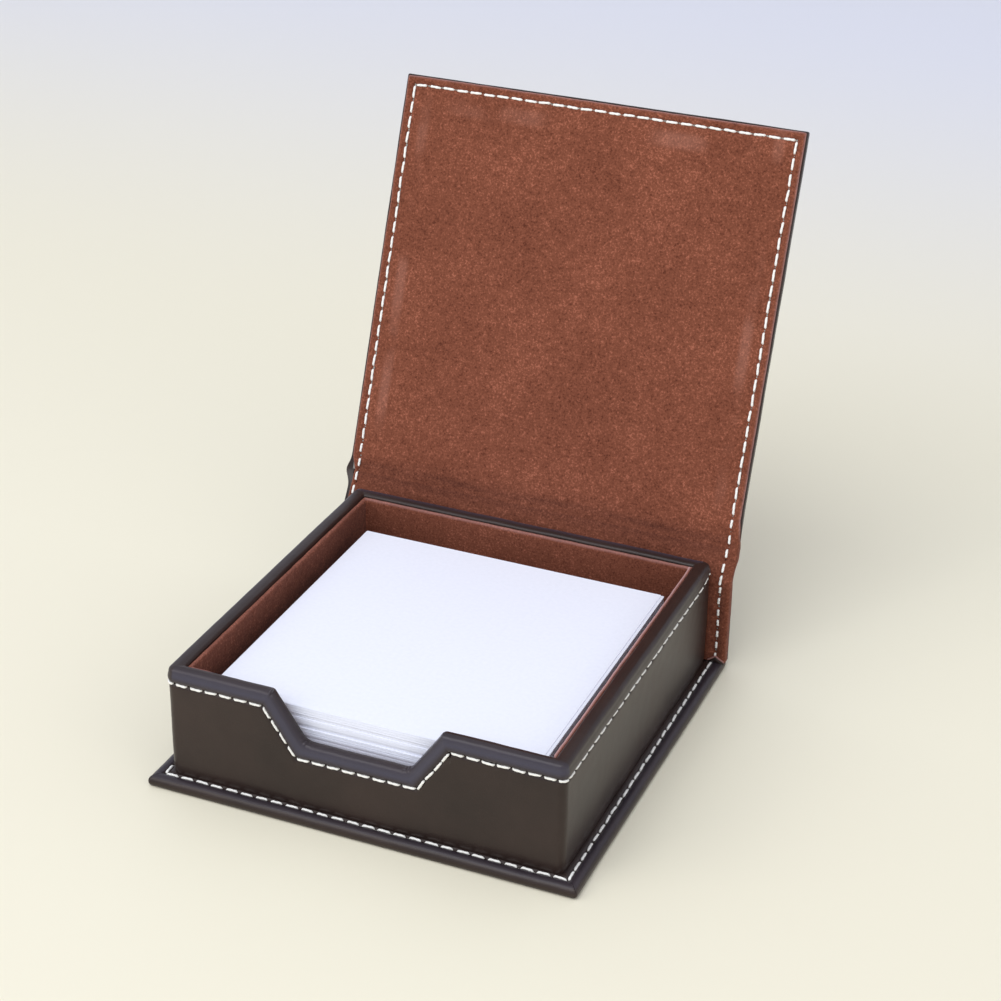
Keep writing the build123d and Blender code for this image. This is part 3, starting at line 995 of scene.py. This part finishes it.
def ring_point(binding, station, share, depth):
    """A point of the border and its flat place; share is 0 at the seam, 1 at the edge."""
    i, edge, seam = station[:3]
    if i is None:
        x = seam[0] + (edge[0] - seam[0]) * share
        along = seam[1] + (edge[1] - seam[1]) * share
        return (x, *lid_plane(along, depth)), (x, binding.flat[-1] + along - seam[1])
    x = seam + (edge - seam) * share
    return (x, *(binding.inner[i] + binding.back[i] * depth)), (x, binding.flat[i])


def framed_sheet(name, binding, ring, profile, field_depth, material, wobbles, painted_shade=None):
    """A border that follows a profile, joined to a field inside the seam.

    The profile's rows give share, depth and share of painted light from the thickness, the hole
    weight and the wrap of a station; the last argument gives the field's painted shade.
    """
    points, flat, painted_light = [], [], []
    for row in profile:
        for station in ring:
            i = station[0]
            thick = LID_THICK if i is None else binding.thick[i]
            share, depth, soft = row(thick, station[3], station[4])
            p, f = ring_point(binding, station, share, depth)
            points.append(p)
            flat.append(f)
            painted_light.append(soft)
    faces = grid_faces(len(profile), len(ring))
    left, right = binding.seams()
    share = (binding.across + BASE_X - LID_SEAM) / (2 * (BASE_X - LID_SEAM))
    first = len(points)
    for i in range(len(binding.inner)):
        x = left[i] + (right[i] - left[i]) * share
        points += binding.point(i, x, field_depth(i, x)).tolist()
        flat += [(v, binding.flat[i]) for v in x]
        painted_light += [0.0] * len(x) if painted_shade is None else painted_shade(i, x).tolist()
    faces += [f[::-1] for f in grid_faces(len(binding.inner), len(share), False, first)]
    points = np.array(points)
    for size, amount, seed in wobbles:
        points = wobble(points, size, amount, seed)
    return mesh_from(name, points, faces, material, np.array(flat), painted_light)


def seam_dent(binding, i, x):
    """Dents of the seam in the field, along both sides and the top."""
    side = np.maximum(BASE_X - LID_SEAM - np.abs(x), 0)
    top = binding.flat[-1] - binding.flat[i]
    across = (np.arange(len(x)) % STEPS == 0).astype(float)
    depth = np.maximum(groove(side), groove(top))
    depth = depth + binding.hole[i] * puncture(side)
    return depth + across * puncture(top)


def suede_row(share, depth, painted_light=0.0, dent=0.0, spine=None):
    """A row of the suede's border with its share of painted highlight; spine holds its share and
    depth on the spine, where painted shade replaces the highlight.
    """
    def at(thick, hole, on_spine):
        s, d = spine or (share, depth)
        return (share + (s - share) * on_spine, depth + (d - depth) * on_spine + dent * hole,
                painted_light * (1 - on_spine) - 0.15 * on_spine)
    return at


# rows of share, depth, painted highlight on the rolled edge, dent at the holes, and share and
# depth on the spine
SUEDE_BORDER = (
    suede_row(0.83, 1.1, 0.1, spine=(0.98, 3.0)), suede_row(0.855, 0.75, 0.25, spine=(1.0, 2.2)),
    suede_row(0.85, 0.4, 0.55, spine=(1.0, 1.0)), suede_row(0.815, 0.14, 0.45, spine=(0.97, 0.4)),
    suede_row(0.74, -0.03, 0.1, spine=(0.88, 0.05)), suede_row(0.6, -0.1, spine=(0.7, -0.1)),
    suede_row(0.47, -0.09), suede_row(0.34, -0.01), suede_row(0.24, 0.12),
    suede_row(0.14, 0.28, dent=0.12), suede_row(0.06, 0.38, dent=0.25),
    suede_row(0.0, GROOVE, dent=HOLE),
)


def suede_lining(binding, material):
    """Suede on the spine's front, over the fold and on the lid's inner face."""
    below = np.clip((binding.flat[binding.fold_end] + 4.0 - binding.flat) / 4.0, 0, 1)
    inset = np.maximum(0.7 * binding.near_fold(2.5, 5.0), below)
    ring = binding_ring(binding, -1.5 * inset, 0.3 * binding.near_fold(3.0))
    wrinkle = binding.near_fold(4.5)
    above = binding.flat - binding.flat[binding.fold_end]

    def pressed(i, x):
        low = np.exp(-(((above[i] - 2.0 - 0.5 * np.sin(x * 0.11)) / 0.7) ** 2))
        high = np.exp(-(((above[i] - 5.2 - 0.7 * np.sin(x * 0.07 + 2)) / 0.5) ** 2))
        low = low * (0.7 + 0.3 * np.sin(x * 0.21 + 1.0))
        return low + 0.4 * high * (0.5 + 0.5 * np.sin(x * 0.13))

    def field(i, x):
        folds = 0.14 * wrinkle[i] * np.sin(binding.flat[i] * 2.1 + x * 0.17)
        return seam_dent(binding, i, x) + folds + 0.2 * pressed(i, x)

    # painted shade: darker in the pressed creases, just above the fold and on the spine strip
    # beside the tray
    def painted_shade(i, x):
        dim = 0.22 * np.exp(-(((above[i] - 1.0) / 3.0) ** 2)) + 0.22 * (above[i] < 0)
        return -0.2 * pressed(i, x) - dim

    wobbles = ((11.0, 0.13, 2.0), (1.6, 0.06, 7.0))
    return framed_sheet("lid_and_spine_suede", binding, ring, SUEDE_BORDER, field, material,
                        wobbles, painted_shade)


def near_row(share, depth, spine_depth):
    """A row of the leather's border measured from the inner face."""
    def at(thick, hole, on_spine):
        return share, depth + (spine_depth - depth) * on_spine, 0.0
    return at


def far_row(share, depth, dent=0.0):
    """A row of the leather's border measured from the outer face."""
    def at(thick, hole, on_spine):
        return share, thick - depth - dent * hole, 0.0
    return at


LEATHER_BORDER = (
    near_row(0.4, 0.7, 2.6), near_row(0.7, 0.66, 2.5), near_row(0.84, 0.5, 2.4),
    near_row(0.92, 0.36, 2.4), near_row(0.97, 0.42, 2.45), near_row(0.995, 0.66, 2.6),
    near_row(1.0, 1.0, 2.7), far_row(1.0, 1.2), far_row(0.99, 0.75), far_row(0.96, 0.42),
    far_row(0.9, 0.18), far_row(0.8, 0.02), far_row(0.66, -0.05), far_row(0.5, -0.04),
    far_row(0.36, 0.04), far_row(0.24, 0.17), far_row(0.13, 0.33, 0.12), far_row(0.05, 0.4, 0.25),
    far_row(0.0, GROOVE, HOLE),
)


def back_leather(binding, material):
    """Leather over the edges, on the spine's back, over the fold and outside the lid."""
    wave = 0.1 * binding.near_fold(6.0) * np.sin(binding.flat * 1.15)
    below = np.clip((binding.flat[binding.fold_end] - binding.flat) / 5.0, 0, 1)
    left = 1.2 * binding.near_fold(2.5, 5.0) - 0.7 * below
    ring = binding_ring(binding, left, wave - 0.1 * binding.on_spine)

    def field(i, x):
        return binding.thick[i] - seam_dent(binding, i, x)

    wobbles = ((15.0, 0.13, 4.0), (3.2, 0.04, 8.0))
    return framed_sheet("back_leather", binding, ring, LEATHER_BORDER, field, material, wobbles)


def stitch_length(binding, station):
    """Stitches sink deeper into the suede at the spine and the fold."""
    if station < binding.spine_end:
        return 2.1
    return 2.6 if station < binding.fold_end + 2 * STEPS else THREAD_LENGTH


def binding_stitches(binding):
    """Stitches and holes along both sides and the top, inside and outside."""
    inside, outside, holes = [], [], []
    count = len(binding.inner)
    for line in binding.seams():
        for a in range(0, count - STEPS, STEPS):
            b, m = a + STEPS, a + STEPS // 2
            back = np.array([0, *binding.back[m]])
            for face, rows, sign in ((inside, binding.inner, 1), (outside, binding.outer, -1)):
                way = np.array([line[b] - line[a], *(rows[b] - rows[a])])
                centre = np.array([line[m], *rows[m]]) + back * 0.2 * sign
                face.append((centre, way, -back * sign, stitch_length(binding, m)))
        for a in range(0, count, STEPS):
            back = np.array([0, *binding.back[a]])
            holes.append((np.array([line[a], *binding.inner[a]]) + back * 0.68, -back))
    end = LID_END - LID_SEAM
    back = np.array([0, math.cos(LEAN), -math.sin(LEAN)])
    for m in binding.across_middle[:, 0]:
        inside.append(((m, *lid_plane(end, 0.2)), (1, 0, 0), -back, THREAD_LENGTH))
        outside.append(((m, *lid_plane(end, LID_THICK - 0.2)), (1, 0, 0), back, THREAD_LENGTH))
    holes += [((x, *lid_plane(end, 0.68)), -back) for x in binding.across[::STEPS]]
    return inside, outside, holes


FOOT_LINE = np.array([(55.4, 3.5), (57.7, 5.2), (60.3, 3.7)])      # x and height of its edge
FOOT_SIDES = 8
FOOT_STEPS = 15


def foot_fold(side, suede, leather):
    """Turned-up foot of the suede strip beside the tray: a folded edge like a gable."""
    line = FOOT_LINE * (side, 1)
    name = "left" if side < 0 else "right"
    points = []
    for share in np.linspace(0, 2, FOOT_STEPS):
        k = int(share >= 1)
        x, z = line[k] + (line[min(k + 1, 2)] - line[k]) * (share - k)
        for angle in np.linspace(0, 2 * math.pi, FOOT_SIDES, endpoint=False):
            points.append((x, 54.86 + 0.26 * math.cos(angle), z + 0.3 * math.sin(angle)))
    faces = grid_faces(FOOT_STEPS, FOOT_SIDES, True)
    last = len(points) - FOOT_SIDES
    faces += [tuple(range(FOOT_SIDES))[::-1], tuple(range(last, len(points)))]
    # painted highlight on the roll's fuzzy edge
    roll = mesh_from("foot_roll_" + name, points, faces, suede, painted_light=[0.45] * len(points))
    points = []
    for x, top in line:
        outline = (3.0, 54.72), (top * 0.5 + 1.5, 54.66), (top, 54.8), (top, 55.2), (3.0, 55.2)
        points += [(x, y, z) for z, y in outline]
    faces = grid_faces(3, 5, True)
    faces += [tuple(range(5))[::-1], tuple(range(10, 15))]
    return roll, mesh_from("foot_leather_" + name, points, faces, leather)


# ---- Note sheets -------------------------------------------------------------

BUNDLES = (                 # thickness, x and y offset and twist of each bundle
    (11.2, 0.8, 0.1, 0.0), (6.0, 1.1, 0.5, 0.12), (2.0, 0.7, 0.2, -0.1),
    (1.3, 1.1, 0.6, 0.1), (1.6, 1.3, 0.2, 0.0), (1.1, -0.2, 0.4, 0.0),
    (2.0, 1.1, 0.2, 0.03), (0.4, 0.2, 0.3, 0.0),
)


def sheet_layer(points, faces, low, high, shift, twist):
    """One thin slab of sheets with slightly soft corners."""
    first = len(points)
    half, corner = SHEET / 2, SHEET_CORNER
    outline = []
    for sx, sy in ((1, 1), (-1, 1), (-1, -1), (1, -1)):
        pair = [(sx * half, sy * (half - corner)), (sx * (half - corner), sy * half)]
        outline += pair if sx * sy > 0 else pair[::-1]
    c, s = math.cos(twist), math.sin(twist)
    across, back = shift[0] + STACK_X, shift[1] + STACK_Y
    for z in (low, high):
        points += [(c * x - s * y + across, s * x + c * y + back, z) for x, y in outline]
    for k in range(8):
        n = (k + 1) % 8
        faces.append((first + k, first + n, first + 8 + n, first + 8 + k))
    faces.append(tuple(range(first + 8, first + 16)))
    faces.append(tuple(range(first + 7, first - 1, -1)))


def bundle_layers(number, level, thickness):
    """Heights of a bundle's layers; a single loose sheet lies on top of all."""
    if number == len(BUNDLES):
        return [level, level + thickness - TOP_SHEET, level + thickness]
    count = max(1, round(thickness / LAYER))
    return [level + thickness * k / count for k in range(count + 1)]


def note_sheets(material):
    """Loose sheets in bundles that have slid a little over each other."""
    rng = random.Random(11)
    level = STACK_Z
    for number, (thickness, dx, dy, twist) in enumerate(BUNDLES, 1):
        points, faces = [], []
        heights = bundle_layers(number, level, thickness)
        for k, (low, high) in enumerate(zip(heights, heights[1:])):
            shift = (dx + rng.gauss(0, 0.02), dy + rng.gauss(0, 0.025))
            if number == len(BUNDLES) and k == 0:
                shift = (1.1, 0.15)
            turn = math.radians(twist) + rng.gauss(0, 0.0002)
            sheet_layer(points, faces, low, high - SHEET_GAP, shift, turn)
        thing = mesh_from(f"note_sheets_{number}", points, faces, material)
        # the cut edges take the lighter painted colour
        cut = thing.data.attributes.new("cut", "FLOAT", "FACE")
        for polygon in thing.data.polygons:
            polygon.use_smooth = False
            cut.data[polygon.index].value = float(abs(polygon.normal.z) < 0.5)
        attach(thing, "memo_stack")
        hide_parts(f"memo_sheets_{number}")
        level += thickness


# ---- Surroundings ------------------------------------------------------------


def floor_and_wall():
    """A pale table that curves up into a pale wall."""
    size, bend, radius = 3.0, 1.2, 0.8
    profile = [(-size, 0.0)]
    for angle in np.linspace(0, math.pi / 2, 17):
        profile.append((bend + radius * math.sin(angle), radius * (1 - math.cos(angle))))
    profile.append((bend + radius, size))
    points = [(x, y, z) for y, z in profile for x in (-size, size)]
    faces = grid_faces(len(profile), 2)
    thing = mesh_from("floor", np.array(points) / MM, faces, table_material())
    thing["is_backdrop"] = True


def area_light(name, place, target, size, power, colour):
    """A soft rectangular lamp at a place, aimed at a target."""
    data = bpy.data.lights.new(name, "AREA")
    data.shape = "RECTANGLE"
    data.size, data.size_y = size
    data.energy = power
    data.color = colour
    lamp = bpy.data.objects.new(name, data)
    lamp.location = place
    aim = Vector(target) - Vector(place)
    lamp.rotation_euler = aim.to_track_quat("-Z", "Y").to_euler()
    bpy.context.scene.collection.objects.link(lamp)


def world_light():
    """Even light from all around."""
    world = bpy.data.worlds.new("room")
    bpy.context.scene.world = world
    world.use_nodes = True
    background = world.node_tree.nodes["Background"]
    background.inputs["Color"].default_value = (0.88, 0.92, 1.0, 1)
    background.inputs["Strength"].default_value = 0.86


def camera():
    """The camera, in front of the box to the right and above it."""
    data = bpy.data.cameras.new("camera")
    data.lens = 82.2302
    data.sensor_width = 36.0
    data.shift_x = -0.04175
    data.shift_y = -0.01591
    eye = bpy.data.objects.new("camera", data)
    eye.location = (0.2145273, -0.4794479, 0.3464334)
    eye.rotation_euler = (1.0922, -0.0212, 0.3869)
    bpy.context.scene.collection.objects.link(eye)
    bpy.context.scene.camera = eye


def surroundings():
    floor_and_wall()
    world_light()
    area_light("ceiling", (-0.15, -0.85, 1.45), (0, 0, 0), (1.2, 1.2), 12.5, (0.88, 0.93, 1.0))
    area_light("window", (-1.3, -1.2, 1.0), (0, 0, 0.03), (1.2, 1.0), 7.0, (1.0, 0.97, 0.93))
    area_light("right", (1.4, -0.6, 0.9), (0, 0, 0.03), (1.0, 1.0), 1.6, (1.0, 0.88, 0.72))
    camera()


# ---- Assembly ----------------------------------------------------------------


def paint_frame(frame, leather, suede, thread, board, paper):
    """Materials on the CAD nodes."""
    by_slot = {
        "dark_leather": leather, "brown_suede": suede, "white_thread": thread,
        "grey_board": board, "memo_paper": paper,
    }
    names = {
        "board": "grey_board", "wall": "grey_board", "cover": "dark_leather",
        "leather": "dark_leather", "lining": "brown_suede", "suede": "brown_suede",
        "stitching": "white_thread",
    }
    for name, node in frame["nodes"].items():
        slot = names.get(name.rsplit("_", 1)[-1], "memo_paper")
        node.data.materials.clear()
        node.data.materials.append(by_slot[slot])


def finish_piece(thing, body, slot, *nodes):
    """A piece's body, or none for a piece over the fold from case to lid, whose place is then
    baked into its mesh, and the nodes it stands for, which are hidden; the slot is not used.
    """
    if body:
        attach(thing, body)
    else:
        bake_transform(thing)
    if nodes:
        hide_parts(*nodes)


def build():
    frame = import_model()
    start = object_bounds()
    leather = leather_material("dark_leather", *LEATHER_TONES, 0.34)
    suede = suede_material("brown_suede", *SUEDE_TONES)
    lid_suede = suede_material("lid_suede", *SUEDE_TONES, marks=True)
    thread = thread_material()
    paper = paper_material()
    board = board_material()
    # dark is the painted shade inside the needle holes
    dark = hole_shade_material()
    paint_frame(frame, leather, suede, thread, board, paper)

    columns = tray_columns()
    finish_piece(tray_cover(columns, leather), "case", "dark_leather", "tray_cover")
    finish_piece(wall_lining(columns, suede), "case", "brown_suede",
                 "front_lining", "rear_lining", "left_lining", "right_lining")
    stitches, tray_holes, bent = tray_stitches(columns)
    seam = stitching("tray_seam", stitches, thread, 5, bent)
    finish_piece(seam, "case", "white_thread", "tray_stitching")

    ring = BaseRing()
    finish_piece(base_cover(ring, leather), "case", "dark_leather", "base_cover")
    upper, lower, base_holes = base_stitches(ring)
    seam = stitching("base_seam", upper, thread, 6)
    finish_piece(seam, "case", "white_thread", "base_stitching")
    finish_piece(stitching("underside_seam", lower, thread, 7), "case", "white_thread")
    pricks = hole_marks("case_needle_holes", tray_holes + base_holes, dark)
    finish_piece(pricks, "case", "dark_leather")

    binding = Binding()
    finish_piece(back_leather(binding, leather), None, "dark_leather",
                 "spine_cover", "fold_leather", "lid_cover")
    finish_piece(suede_lining(binding, lid_suede), None, "brown_suede",
                 "spine_lining", "fold_suede", "lid_lining")
    inner, outer, lid_holes = binding_stitches(binding)
    finish_piece(stitching("lid_seam_inside", inner, thread, 8), None, "white_thread",
                 "spine_stitching", "lid_stitching")
    finish_piece(stitching("lid_seam_outside", outer, thread, 9), None, "white_thread")
    finish_piece(hole_marks("lid_needle_holes", lid_holes, dark), None, "dark_leather")
    for side in (-1, 1):
        roll, toe = foot_fold(side, suede, leather)
        finish_piece(roll, "case", "brown_suede")
        finish_piece(toe, "case", "dark_leather")

    note_sheets(paper)
    surroundings()
    bpy.context.scene.view_settings.view_transform = "Standard"
    return start


start = build()
